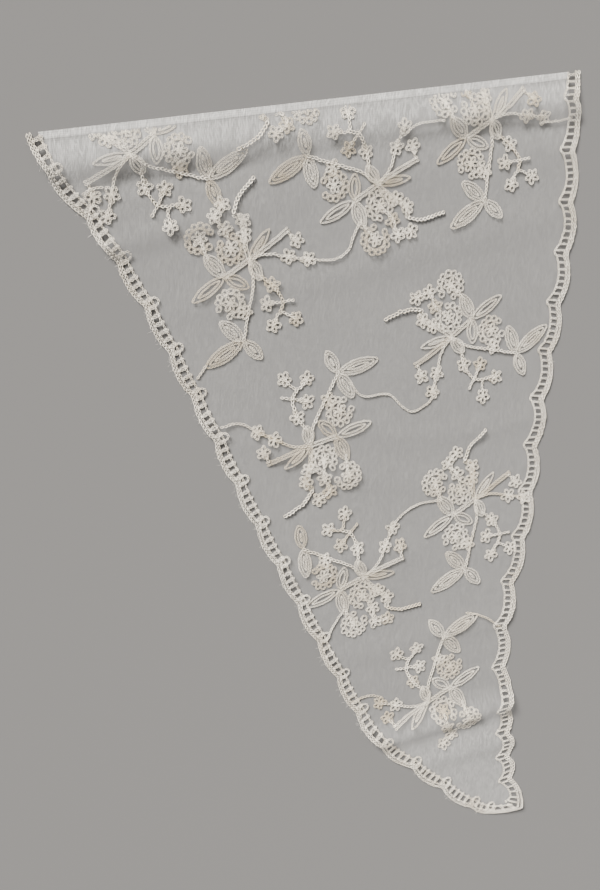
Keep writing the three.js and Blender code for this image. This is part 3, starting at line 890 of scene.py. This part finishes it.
class Finish:
    """A material under construction."""

    def __init__(self, name):
        self.material = bpy.data.materials.new(name)
        self.material.use_nodes = True
        self.tree = self.material.node_tree
        self.shader = self.tree.nodes["Principled BSDF"]

    def node(self, kind, settings=None, inputs=None, output=0):
        """A node with its settings, and with values or links in its sockets."""
        made = self.tree.nodes.new(kind)
        for key, value in (settings or {}).items():
            if key == "stops":
                self.set_stops(made.color_ramp, value)
            else:
                setattr(made, key, value)
        for key, value in (inputs or {}).items():
            self.feed(made.inputs[key], value)
        return Value(self, made.outputs[output])

    def set_stops(self, ramp, stops):
        """Places and colours of a ramp."""
        while len(ramp.elements) < len(stops):
            ramp.elements.new(0.5)
        for element, (at, colour) in zip(ramp.elements, stops):
            element.position, element.color = at, colour

    def feed(self, socket, value):
        """A link where the value comes from a node, and the plain value otherwise."""
        if isinstance(value, Value):
            self.tree.links.new(value.socket, socket)
        else:
            socket.default_value = value

    def set(self, inputs):
        """Values or links for the sockets of the shader."""
        for key, value in inputs.items():
            self.feed(self.shader.inputs[key], value)

    def blend(self, share, first, second):
        """A colour between two others."""
        return self.node(
            "ShaderNodeMix", {"data_type": "RGBA"}, {0: share, 6: first, 7: second}, MIXED_COLOUR,
        )

    def stretch(self, share, low, high, top=1.0):
        """A share drawn out so that low becomes nothing and high becomes the top value."""
        stops = [(low, (0, 0, 0, 1)), (high, (top, top, top, 1))]
        return self.node("ShaderNodeValToRGB", {"stops": stops}, {0: share})

    def attribute(self, name):
        """A value that the mesh carries."""
        return self.node("ShaderNodeAttribute", {"attribute_name": name}, output=ATTRIBUTE_VALUE)

    def noise(self, place, scale, detail, distortion=0.0):
        """Soft uneven patches."""
        return self.node("ShaderNodeTexNoise", None, {
            "Vector": place, "Scale": scale, "Detail": detail, "Distortion": distortion,
        })

    def bands(self, place, way, inputs):
        """Even bands that run one way."""
        settings = {"wave_type": "BANDS", "bands_direction": way}
        return self.node("ShaderNodeTexWave", settings, {"Vector": place, **inputs}, WAVE_STRENGTH)


def cord_finish(name, ivory):
    """Matt ivory cord: plied yarn, soft fibres, painted shade in its crevices, and passages that
    lean to tan.
    """
    finish = Finish(name)
    place = finish.node("ShaderNodeTexCoord", output=OBJECT_PLACE)
    run = finish.node("ShaderNodeUVMap", {"uv_map": "yarn"})
    ply = finish.bands(run, "DIAGONAL", {"Scale": 3.0, "Distortion": 1.2, "Detail": 2.0})
    fibre = finish.noise(place, scale=2600.0, detail=4.0)
    patch = finish.noise(place, scale=26.0, detail=3.0)
    # The yarn's colour runs from the painted crevice shade to ivory, by the painted shade the mesh
    # carries
    body = finish.blend(finish.attribute("shade") * 0.85 + fibre * 0.15, PAINTED_CREVICE_SHADE, ivory)
    leaning = finish.stretch(patch, 0.46, 0.64, top=0.3) + finish.attribute("age") * 0.65
    finish.set({
        "Base Color": finish.blend(leaning, body, TAN),
        "Roughness": 0.7 + fibre * 0.25,
        "Sheen Weight": 0.25,
        "Sheen Roughness": 0.5,
        "Specular IOR Level": 0.25,
        "Normal": finish.node("ShaderNodeBump", None, {
            "Strength": 0.6, "Distance": 0.0002, "Height": ply * 0.7 + fibre * 0.3,
        }),
    })
    return finish.material


def fibre_finish():
    """Soft pale fibres, a little darker here and there."""
    finish = Finish("stray_fibre")
    place = finish.node("ShaderNodeTexCoord", output=OBJECT_PLACE)
    patch = finish.noise(place, scale=60.0, detail=2.0)
    finish.set({
        "Base Color": finish.blend(patch, FIBRE_PALE, FIBRE_DARK),
        "Roughness": 0.5 + patch * 0.4,
        "Specular IOR Level": 0.3,
    })
    return finish.material


def net_finish(name, cover):
    """Very sheer net: fine threads with wavy combed streaks."""
    finish = Finish(name)
    place = finish.node("ShaderNodeTexCoord", output=OBJECT_PLACE)
    combed_way = finish.node("ShaderNodeMapping", None, {
        "Vector": place, "Rotation": (0, 0, NET_COMB_TURN), "Scale": (520, 90, 1),
    })
    streak = finish.noise(combed_way, scale=1.0, detail=3.0, distortion=2.2)
    weave = {"Scale": 260.0, "Distortion": 1.5, "Detail": 1.0, "Detail Scale": 0.4}
    threads = finish.bands(place, "X", weave) ** 4.0 + finish.bands(place, "Y", weave) ** 4.0
    cloud = finish.noise(place, scale=9.0, detail=2.0)
    combed = finish.stretch(streak, 0.42, 0.68)
    density = 0.3 + combed * 1.0 + threads * 0.4 + cloud * 0.4
    finish.set({
        "Base Color": finish.blend(streak, NET_THREAD, NET_STREAK),
        "Roughness": 0.55 + streak * 0.3,
        "Alpha": (cover + finish.attribute("gathered") * GATHERED_COVER) * density,
        "Sheen Weight": 0.3,
        "Specular IOR Level": 0.3,
    })
    return finish.material


def floor_finish():
    """Plain pale grey paper."""
    finish = Finish("floor")
    finish.set({"Base Color": FLOOR_GREY, "Roughness": 0.9, "Specular IOR Level": 0.1})
    return finish.material


# The pieces

def finish_piece(piece, material, slot, *nodes):
    """The piece with its material, in the place of the CAD nodes that it replaces."""
    piece.data.materials.append(material)
    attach(piece, "root")
    if nodes:
        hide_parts(*nodes)
    return piece


net = finish_piece(
    cloth_sheet("net_ground", None, NET_UNDER, NET_THICK, NET_STEP),
    net_finish("sheer_net", NET_COVER), "sheer_net", "ground_cloth",
)
hem = finish_piece(
    cloth_sheet("hem_fold", HEM_WIDTH, NET_TOP + HEM_OVER_NET, HEM_THICK, HEM_STEP),
    net_finish("hem_net", HEM_COVER), "sheer_net",
)

edging_yarn = Yarn(seed=11)
sew_edging(edging_yarn)
edging = finish_piece(
    yarn_piece("edging_stitches", edging_yarn, EDGE_HEM_GAP),
    cord_finish("edging_cord", EDGING_IVORY), "edging_cord", "scallop_edging",
)
fibres = finish_piece(piece_of("stray_fibres", fibre_mesh()), fibre_finish(), "edging_cord")

spray_cord = cord_finish("spray_cord", SPRAY_IVORY)
for number, spray in enumerate(SPRAYS):
    spray_yarn = Yarn(seed=100 + number)
    sew_spray(spray_yarn, spray)
    nodes = sorted(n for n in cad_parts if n.startswith("spray_" + spray[0]))
    finish_piece(
        yarn_piece("stitches_" + spray[0], spray_yarn, HEM_WIDTH + SPRAY_HEM_GAP),
        spray_cord, "spray_cord", *nodes,
    )

# Floor, light and camera, in metres
FLOOR_SIZE = 8
bpy.ops.mesh.primitive_plane_add(size=FLOOR_SIZE)
floor = bpy.context.active_object
floor.name = "floor"
floor.data.materials.append(floor_finish())


def lamp(name, kind, at, power, colour, **shape):
    """A studio light that shines on the middle of the scarf."""
    light = bpy.data.lights.new(name, kind)
    light.energy, light.color = power, colour
    for key, value in shape.items():
        setattr(light, key, value)
    stand = piece_of(name, light)
    stand.location = at
    stand.rotation_euler = (-Vector(at)).to_track_quat("-Z", "Y").to_euler()


lamp("key_light", "SUN", (-1.5, 1.6, 1.35), 18.5, (1.0, 0.985, 0.96), angle=math.radians(20))
lamp("fill_light", "AREA", (1.6, -0.8, 1.7), 22, (1, 1, 1), shape="DISK", size=2.0)

world = bpy.data.worlds.new("studio")
world.use_nodes = True
world.node_tree.nodes["Background"].inputs["Color"].default_value = (0.93, 0.93, 0.93, 1)
world.node_tree.nodes["Background"].inputs["Strength"].default_value = 0.25
bpy.context.scene.world = world

CAMERA_AT = (-0.3547, 0.2570, 0.8935)
CAMERA_RIGHT = Vector((0.9244, 0.0977, 0.3687)).normalized()
CAMERA_BACK = Vector((-0.3815, 0.2369, 0.8935)).normalized()
CAMERA_UP = CAMERA_BACK.cross(CAMERA_RIGHT).normalized()
CAMERA_TURN = math.radians(2.1)
lens = bpy.data.cameras.new("camera")
lens.sensor_fit = "AUTO"
lens.sensor_width = 36
lens.lens = 52.5
camera = piece_of("camera", lens)
axes = Matrix((CAMERA_RIGHT, CAMERA_UP, CAMERA_BACK)).transposed()
camera.matrix_world = (
    Matrix.Translation(CAMERA_AT) @ Matrix.Rotation(CAMERA_TURN, 4, CAMERA_UP) @ axes.to_4x4()
)
bpy.context.scene.camera = camera
